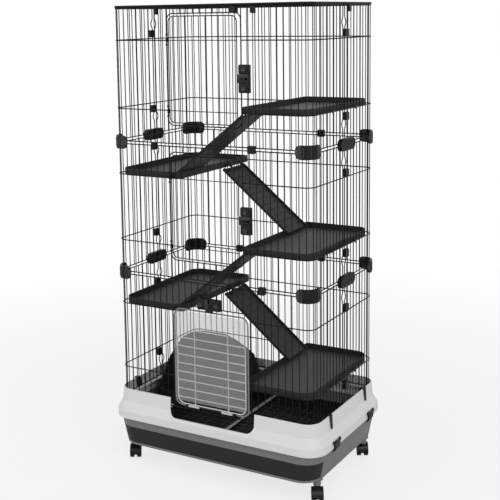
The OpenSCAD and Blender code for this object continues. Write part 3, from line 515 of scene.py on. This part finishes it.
def doorwayWire(bm, tier, w):
    # round corners above and below, with upright wires between them
    left, right, sill, head = doorways[tier]
    z0 = tierBottom(tier)
    r = w["openingCorner"]
    y = -halfD - w["ring"] * 0.5
    for edge, up in ((z0 + head, 1), (z0 + sill, -1)):
        plane = ((1, 0, 0), (0, 0, up))
        z = edge - up * r
        bends = arcPoints((left + r, y, z), r, 180, 90, plane)
        bends += arcPoints((right - r, y, z), r, 90, 0, plane)
        sweep(bm, bends, w["ring"])
    for x in (left, right):
        upright(bm, x, y, z0 + sill + r, z0 + head - r, w["ring"])


def tierPiece(tier, w):
    low = tierBottom(tier) + w["ringLevels"][0] - w["ring"]
    high = tierBottom(tier) + w["ringLevels"][-1] + w["ring"]
    bm = bmesh.new()
    backUprights(bm, low, high, w)
    frontUprights(bm, tier, low, high, w)
    sideUprights(bm, tier, low, high, w)
    levelRings(bm, tier, w)
    doorwayWire(bm, tier, w)
    addPiece(tier + "_tier_wires", bm, "blackWire",
             ["front_shell_" + tier, "back_shell_" + tier], angle=wireAngle)


for tierName in doorways:
    tierPiece(tierName, tierWires)
print("tiers made")

roof = dict(rail=0.0040, railSides=12, railSteps=8, wire=0.0016, pitch=0.025, margin=0.02, cross=0.124)


def roofPiece(p):
    low, high = nodeBox("roof_panel")
    z = (low.z + high.z) / 2
    corner = tierWires["corner"]
    bm = bmesh.new()
    rail = roundedLoop((0, 0, z), halfW, halfD, corner, floorPlane, p["railSteps"])
    sweep(bm, rail, p["rail"], closed=True, sides=p["railSides"])
    count = int((halfW - p["margin"]) / p["pitch"])
    for k in range(-count, count + 1):
        x = k * p["pitch"]
        beyond = max(0, abs(x) - flatX)
        reach = flatY + math.sqrt(corner ** 2 - beyond ** 2)
        rod(bm, (x, -reach, z), (x, reach, z), p["wire"])
    under = z - p["wire"]
    for k in (-1, 0, 1):
        rod(bm, (-halfW, k * p["cross"], under), (halfW, k * p["cross"], under), p["wire"])
    addPiece("roof_wires", bm, "blackWire", ["roof_panel"], angle=wireAngle)


roofPiece(roof)

swingDoor = dict(
    out=0.005,            # from the front wall to the door, middle to middle
    edge=0.0015,          # from the solid's edge to the middle of the frame's wire
    left=-0.142,
    frame=0.0018, corner=0.019,
    wire=0.00145,
    weave=0.0008,         # uprights behind the door's middle plane, level wires before it
    firstUpright=-0.126,
    frameGap=0.006,       # least gap between the last upright and the frame
    levels=((0.115, -0.002), (0.346, 0.002)),      # level wires, and how far their coils shift
    pin=(-0.1471, -0.252),
    coil=0.00375, coilWire=0.0014, coilSides=6, turns=4, coilPitch=0.0034,
)


def swingDoorPiece(tier, d):
    node = tier + "_door"
    low, high = nodeBox(node)
    y = -halfD - d["out"]
    left, right = d["left"], high.x - d["edge"]
    bottom, top = low.z + d["edge"], high.z - d["edge"]
    middle = ((left + right) / 2, y, (bottom + top) / 2)
    bm = bmesh.new()
    outline = roundedLoop(middle, (right - left) / 2, (top - bottom) / 2, d["corner"], frontPlane)
    sweep(bm, outline, d["frame"], closed=True)
    for x in spread(d["firstUpright"], right - d["frameGap"], tierWires["pitch"]):
        upright(bm, x, y + d["weave"], bottom, top, d["wire"])
    for level, shift in d["levels"]:
        z = tierBottom(tier) + level
        rod(bm, (left, y - d["weave"], z), (right, y - d["weave"], z), d["wire"])
        # the wire winds round the hinge pin
        coil = coilPoints((*d["pin"], z + shift), d["coil"], d["turns"], d["coilPitch"], floorPlane)
        sweep(bm, coil, d["coilWire"], sides=d["coilSides"])
        for end in (coil[0], coil[-1]):
            rod(bm, end, (left, y, end.z), d["coilWire"])
    addPiece(node + "_wires", bm, "blackWire", [node], angle=wireAngle)


swingDoorPiece("middle", swingDoor)
swingDoorPiece("top", swingDoor)
print("doors made")

dropDoor = dict(
    out=0.005, edge=0.0015,                     # as on the swinging doors
    frame=0.0028, corner=0.026,
    frameBack=0.0008,                           # keeps the frame clear of the latch's knob
    wire=0.0021, angle=50,
    upright=0.065, uprightBack=0.001,
    firstRung=0.029, rung=0.030, rungs=9, rungOut=0.0005,
    side=0.010, foot=0.0060, bend=0.024,        # the ladder's outer wire
    pin=(-0.2605, 0.262),
    footHalf=0.0215, footRound=0.0028, footWire=0.0014, footSides=6, footTurns=11,
    panelBevel=0.0006,
)


def dropDoorPieces(d):
    low, high = nodeBox("drop_door")
    y = -halfD - d["out"]
    right = high.x - d["edge"]
    bottom, top = low.z + d["edge"], high.z - d["edge"]
    # grey edge all round
    bm = bmesh.new()
    middle = (0, y + d["frameBack"], (bottom + top) / 2)
    outline = roundedLoop(middle, right, (top - bottom) / 2, d["corner"], frontPlane)
    sweep(bm, outline, d["frame"], closed=True)
    addPiece("drop_door_edge", bm, "greyEdge", [], "drop_door", slotOf("drop_door"), angle=wireAngle)
    # pale ladder, whose highest rung joins the two inner uprights alone
    bm = bmesh.new()
    side = right - d["side"]
    rungs = [bottom + d["firstRung"] + k * d["rung"] for k in range(d["rungs"])]
    for x in (-d["upright"], d["upright"]):
        upright(bm, x, y + d["uprightBack"], bottom, rungs[-1], d["wire"])
    for z in rungs:
        reach = d["upright"] if z == rungs[-1] else side
        rod(bm, (-reach, y - d["rungOut"], z), (reach, y - d["rungOut"], z), d["wire"])
    # one wire runs down a side, along the foot and up again
    bend = d["bend"]
    z = bottom + d["foot"] + bend
    outer = [(-side, y, rungs[-2])]
    outer += arcPoints((bend - side, y, z), bend, 180, 270, frontPlane)
    outer += arcPoints((side - bend, y, z), bend, 270, 360, frontPlane)
    outer += [(side, y, rungs[-2])]
    sweep(bm, outer, d["wire"])
    # feet wound round the hinge pin
    pitch = 2 * d["footHalf"] / d["footTurns"]
    for x in (-d["upright"], d["upright"]):
        coil = coilPoints((x, *d["pin"]), d["footRound"], d["footTurns"], pitch, sidePlane)
        sweep(bm, coil, d["footWire"], sides=d["footSides"])
    addPiece("drop_door_wires", bm, "paleWire", ["drop_door"], angle=d["angle"])
    refine("drop_door_panel", "panel", d["panelBevel"])


dropDoorPieces(dropDoor)
print("drop door made")

latch = dict(
    width=0.039, height=0.090, thick=0.016,
    out=0.0017,                       # from the front wall to the latch's back
    plate=0.005, plateRound=0.002,
    slot=0.0148,                      # half the gap between the two end blocks
    endBack=0.0005, endRound=0.0045, endSegments=4,
    bridge=0.006, bridgeTuck=0.002, bridgeBack=0.001, bridgeSunk=0.0015, bridgeRound=0.0015,
    cheekFrom=0.0031, cheekTuck=0.001, cheekNear=0.0004, cheekFar=0.004,
    cheekBack=0.0129, cheekFront=0.0145, cheekRound=0.0006, cheekSegments=2,
    boss=0.009, bossTaper=0.86, bossAt=0.0306, bossTall=0.005, bossOut=0.001,
    bossRim=0.002, bossSunk=0.0008, bossSides=32,
    knobOut=0.0075, knobIn=0.0225, knobHalf=0.0138, knobLow=0.0055, knobHigh=0.0125, knobRound=0.002,
    pegFrom=0.0080, pegTo=0.0130, pegHalf=0.0025, pegLow=0.0115, pegHigh=0.0190, pegRound=0.0010,
)
# where each latch sits, and which way its width and its height run
latchPlaces = dict(
    middle=dict(x=0.125, z=0.9219, across=(1, 0, 0), along=(0, 0, 1)),
    top=dict(x=0.125, z=1.3789, across=(1, 0, 0), along=(0, 0, 1)),
    drop=dict(x=0, z=0.607, across=(0, 0, 1), along=(-1, 0, 0)),
)


def latchSpot(x, z, across, along):
    turn = Matrix((across, along, (0, -1, 0))).transposed().to_4x4()
    return Matrix.Translation((x, -halfD - latch["out"], z)) @ turn


def latchBody(node, spot, q):
    # local x runs away from the door, y along the block, z out from the wall
    w, h, t, slot = q["width"], q["height"] / 2, q["thick"], q["slot"]
    bm = bmesh.new()
    block(bm, (0, -h, 0), (w, h, q["plate"]), q["plateRound"])
    for s in (-1, 1):
        near, far = sorted((s * slot, s * h))
        block(bm, (0, near, q["endBack"]), (w, far, t), q["endRound"], q["endSegments"])
    reach = slot + q["bridgeTuck"]
    block(bm, (w - q["bridge"], -reach, q["bridgeBack"]), (w, reach, t - q["bridgeSunk"]), q["bridgeRound"])
    for s in (-1, 1):
        # sunk cheeks on both sides of the thumb peg's slot
        near, far = sorted((s * q["cheekFrom"], s * (slot + q["cheekTuck"])))
        block(bm, (q["cheekNear"], near, q["cheekBack"]), (w - q["cheekFar"], far, q["cheekFront"]),
              q["cheekRound"], q["cheekSegments"])
    count = len(bm.faces)
    for s in (-1, 1):
        place = Matrix.Translation((w / 2, s * q["bossAt"], t + q["bossOut"]))
        made = bmesh.ops.create_cone(bm, cap_ends=True, segments=q["bossSides"], radius1=q["boss"],
                                     radius2=q["boss"] * q["bossTaper"], depth=q["bossTall"],
                                     matrix=place)
        faces = {f for v in made["verts"] for f in v.link_faces}
        caps = [f for f in faces if len(f.verts) == q["bossSides"]]
        bmesh.ops.inset_region(bm, faces=caps, thickness=q["bossRim"], depth=-q["bossSunk"])
    giveSecondFinish(bm, count)
    bmesh.ops.transform(bm, matrix=spot, verts=bm.verts)
    addPiece(node + "_body", bm, "clip", [node + "_block"], also=["boss"])


def latchKnob(node, spot, q):
    bm = bmesh.new()
    block(bm, (-q["knobOut"], -q["knobHalf"], q["knobLow"]),
          (q["knobIn"], q["knobHalf"], q["knobHigh"]), q["knobRound"])
    block(bm, (q["pegFrom"], -q["pegHalf"], q["pegLow"]),
          (q["pegTo"], q["pegHalf"], q["pegHigh"]), q["pegRound"])
    bmesh.ops.transform(bm, matrix=spot, verts=bm.verts)
    addPiece(node + "_knob", bm, "knob", [node + "_slider"])


for latchName, latchPlace in latchPlaces.items():
    latchTurn = latchSpot(**latchPlace)
    latchBody(latchName + "_latch", latchTurn, latch)
    latchKnob(latchName + "_latch", latchTurn, latch)
print("latches made")

cornerClip = dict(
    thick=0.008, out=0.0017, tall=0.045,
    end=0.015, endSegments=6,                   # the pill's round ends
    level=0.00001, near=0.0003, sharp=0.5,      # how an end's edges are told from the rest
    rib=0.0018, ribShare=0.36,                  # radius, and half height as a share of tall
    ribAngles=(10, 45, 80), ribBeyond=0.0077,
    bevel=0.0012,
)
sideClip = dict(
    tall=0.039, rim=0.0035, sink=0.003,
    outward=0.9,                                # how squarely a face looks to the side
    rib=0.0020,
    ribs=((-0.036, 0.26), (-0.018, 0.36), (0, 0.36), (0.018, 0.36), (0.036, 0.26)),
    bevel=0.0015,
)
clipLevels = (tierBottom("middle"), tierBottom("top"))


def cornerClips(c):
    # pill-ended bands round the corners, with upright ribs
    bm = mergedNode("corner_clips")
    ends = []
    for edge in bm.edges:
        line = edge.verts[0].co - edge.verts[1].co
        across = abs(line.z) < c["level"] and abs(line.length - c["thick"]) < c["near"]
        if across and edge.calc_face_angle(0) > c["sharp"]:
            ends.append(edge)
    bmesh.ops.bevel(bm, geom=ends, offset=c["end"], segments=c["endSegments"], affect="EDGES",
                    profile=0.5, material=-1, clamp_overlap=True)
    count = len(bm.faces)
    r = tierWires["corner"] + c["out"] + c["thick"]
    spots = [(r * math.cos(a), r * math.sin(a)) for a in map(math.radians, c["ribAngles"])]
    spots += [(-c["ribBeyond"], r), (r, -c["ribBeyond"])]
    half = c["tall"] * c["ribShare"]
    for z in clipLevels:
        for sx in (-1, 1):
            for sy in (-1, 1):
                for x, y in spots:
                    upright(bm, sx * (flatX + x), sy * (flatY + y), z - half, z + half, c["rib"])
    giveSecondFinish(bm, count)
    addPiece("corner_clips_ribbed", bm, "clip", ["corner_clips"], bevel=c["bevel"], also=["boss"])


def sideClips(c):
    # a sunk field with upright ribs, shorter towards the ends
    bm = mergedNode("side_clips")
    outer = [f for f in bm.faces if abs(f.normal.x) > c["outward"]
             and f.normal.x * f.calc_center_median().x > 0]
    bmesh.ops.inset_region(bm, faces=outer, thickness=c["rim"], depth=-c["sink"])
    count = len(bm.faces)
    x = nodeBox("side_clips")[1].x - c["sink"]
    for z in clipLevels:
        for s in (-1, 1):
            for y, share in c["ribs"]:
                half = c["tall"] * share
                upright(bm, s * x, y, z - half, z + half, c["rib"])
    giveSecondFinish(bm, count)
    addPiece("side_clips_ribbed", bm, "clip", ["side_clips"], bevel=c["bevel"], also=["boss"])


cornerClips(cornerClip)
sideClips(sideClip)
print("clips made")

grateMesh = dict(
    pitch=0.0125, bar=0.0024,
    corner=0.064,
    tuck=0.002,                                 # bars end this far inside the rim
    endGap=0.008, sideGap=0.012,                # least gaps between a bar and the rim's edge
    acrossSunk=0.0006, alongSunk=0.0010,
)
floorRail = dict(
    crest=0.006, crestLift=0.001, crestRound=0.0012,
    shift=0.0045, drop=0.0015,                  # crest's place, and the flanges' height under it
    flangeRound=0.0010,
)


def floorGrate(node, g):
    # a fine black mesh in a flat rim
    low, high = nodeBox(node)
    inX, outX = sorted((abs(low.x), abs(high.x)))
    outY = high.y
    side = 1 if high.x > -low.x else -1
    half = g["bar"] / 2
    bm = mergedNode(node)

    def reach(along, size, other):
        # how far a bar runs before the rounded corner
        beyond = max(0, along - size + g["corner"])
        return other - g["corner"] + math.sqrt(max(0, g["corner"] ** 2 - beyond ** 2)) - g["tuck"]

    for x in spread(inX + g["pitch"], outX - g["endGap"], g["pitch"]):
        y = reach(x, outX, outY)
        block(bm, (side * x - half, -y, low.z + g["acrossSunk"]),
              (side * x + half, y, high.z - g["acrossSunk"]))
    for y in spread(g["sideGap"] - outY, outY - g["sideGap"], g["pitch"]):
        x = reach(abs(y), outY, outX)
        near, far = sorted((side * (inX + g["tuck"]), side * x))
        block(bm, (near, y - half, low.z + g["alongSunk"]), (far, y + half, high.z - g["alongSunk"]))
    addPiece(node + "_mesh", bm, "grate", [node])


def railPiece(r):
    # a pale crest between dark, lower flanges
    low, high = nodeBox("floor_rail")
    bm = bmesh.new()
    block(bm, low, (high.x, high.y, high.z - r["drop"]), r["flangeRound"])
    count = len(bm.faces)
    left, right = r["shift"] - r["crest"], r["shift"] + r["crest"]
    block(bm, (left, low.y, low.z + r["crestLift"]), (right, high.y, high.z), r["crestRound"])
    giveSecondFinish(bm, count)
    addPiece("floor_rail_crested", bm, "grate", ["floor_rail"], also=["rail"])


floorGrate("floor_grate_left", grateMesh)
floorGrate("floor_grate_right", grateMesh)
railPiece(floorRail)
print("grates made")

# parts that keep their solid's shape: finish and width of the softened edges
softened = dict(
    base_shell=("grey", 0.0016), base_surround=("pale", 0.0018),
    drawer_tray=("drawer", 0.001), drawer_front=("drawer", 0.0012),
    litter_pan=("pan", 0.0012),
    caster_sockets=("grey", 0.001), catch_brackets=("clip", 0.0006),
    hold_down_wedges=("clip", 0.0009), roof_clips=("clip", 0.0012),
    small_clips=("clip", 0.0022), seam_blocks=("clip", 0.002),
    drop_door_pin=("blackWire", 0.0005), middle_door_pin=("blackWire", 0.0005),
    top_door_pin=("blackWire", 0.0005),
)
softenedAtCorners = dict(
    caster_fork=("caster", 0.0007), caster_wheels=("tread", 0.0018), base_catch=("clip", 0.0008),
)
shelfFaces = dict(
    level=0.9,            # how squarely a face looks up
    floorTop=0.006,       # the floor lies lower than this, from the shelf's foot
    rimFrom=0.0225,       # and the rim's top higher than this
    bevel=0.0009,
)
shelfCount = 5
rampCount = 4
rampBevel = 0.0008


def shelfPiece(node, s):
    # paler floor and a dark rim
    bm = mergedNode(node)
    foot = nodeBox(node)[0].z
    for face in bm.faces:
        z = face.calc_center_median().z
        if face.normal.z > s["level"] and z < foot + s["floorTop"]:
            face.material_index = 1
        elif face.normal.z > s["level"] and z > foot + s["rimFrom"]:
            face.material_index = 2
    addPiece(node + "_finished", bm, "shelf", [node], bevel=s["bevel"], also=["shelfFloor", "shelfRim"])


for nodeName, (finishName, width) in softened.items():
    refine(nodeName, finishName, width)
for place in ("front_left", "front_right", "back_left", "back_right"):
    for nodeName, (finishName, width) in softenedAtCorners.items():
        refine(nodeName + "_" + place, finishName, width)
for number in range(1, shelfCount + 1):
    shelfPiece("shelf_" + str(number), shelfFaces)
for number in range(1, rampCount + 1):
    refine("ramp_" + str(number), "ramp", rampBevel)
print("solids softened")

studio = dict(
    floorSize=14, floorTone=0.8, floorRough=0.9, floorGloss=0.1,
    haze=0.76, hazeFrom=1.0, hazeTo=3.2,        # share of white near the cage, and where it grows
    world=0.62, lampSize=2.8,
)
lamps = dict(
    keyLamp=dict(place=(3.2, -2.6, 3.4), aimAt=(0, 0, 0.8), power=70),
    fillLamp=dict(place=(-2.8, -3.2, 2.2), aimAt=(0, 0, 0.6), power=30),
)


def makeFloor(s):
    bm = bmesh.new()
    bmesh.ops.create_grid(bm, x_segments=1, y_segments=1, size=s["floorSize"])
    mesh = bpy.data.meshes.new("floor")
    bm.to_mesh(mesh)
    bm.free()
    floor = bpy.data.objects.new("floor", mesh)
    bpy.context.collection.objects.link(floor)
    f = Finish("floorPaint")
    f.put(Base_Color=shade(s["floorTone"]), Roughness=s["floorRough"])
    f.put(Specular_IOR_Level=s["floorGloss"])
    # the camera sees a white floor that keeps the shadow near the cage
    away = f.node("ShaderNodeVectorMath", {"operation": "LENGTH"}, {0: f.place}, "Value")
    white = f.node("ShaderNodeMapRange", {"interpolation_type": "SMOOTHSTEP"}, {
        "Value": away, "From Min": s["hazeFrom"], "From Max": s["hazeTo"],
        "To Min": s["haze"], "To Max": 1.0})
    seen = f.node("ShaderNodeLightPath", {}, {}, "Is Camera Ray")
    glow = f.node("ShaderNodeEmission", {}, {"Color": shade(1), "Strength": 1.0})
    lit = Value(f.tree, f.shader.outputs[0])
    mixed = f.node("ShaderNodeMixShader", {}, {0: seen * white, 1: lit, 2: glow})
    plug(f.tree, f.output.inputs["Surface"], mixed)
    mesh.materials.append(f.material)


def makeWorld(s):
    # white to the camera and in reflections, dimmer where it lights the cage
    world = bpy.data.worlds.new("studioWorld")
    bpy.context.scene.world = world
    world.use_nodes = True
    tree = world.node_tree
    back = tree.nodes["Background"]
    path = tree.nodes.new("ShaderNodeLightPath")
    seen = Value(tree, path.outputs["Is Camera Ray"]) + Value(tree, path.outputs["Is Glossy Ray"])
    seen = seen + Value(tree, path.outputs["Is Transmission Ray"])
    plug(tree, back.inputs["Color"], shade(1))
    plug(tree, back.inputs["Strength"], s["world"] + (seen > 0.5) * (1 - s["world"]))


def softLamp(name, place, aimAt, power):
    data = bpy.data.lights.new(name, "AREA")
    data.shape = "SQUARE"
    data.size = studio["lampSize"]
    data.energy = power
    lamp = bpy.data.objects.new(name, data)
    bpy.context.collection.objects.link(lamp)
    line = Vector(aimAt) - Vector(place)
    lamp.matrix_world = Matrix.Translation(place) @ line.to_track_quat("-Z", "Y").to_matrix().to_4x4()


makeFloor(studio)
makeWorld(studio)
for lampName, lampValues in lamps.items():
    softLamp(lampName, **lampValues)
bpy.context.scene.view_settings.view_transform = "Standard"
print("studio lit")
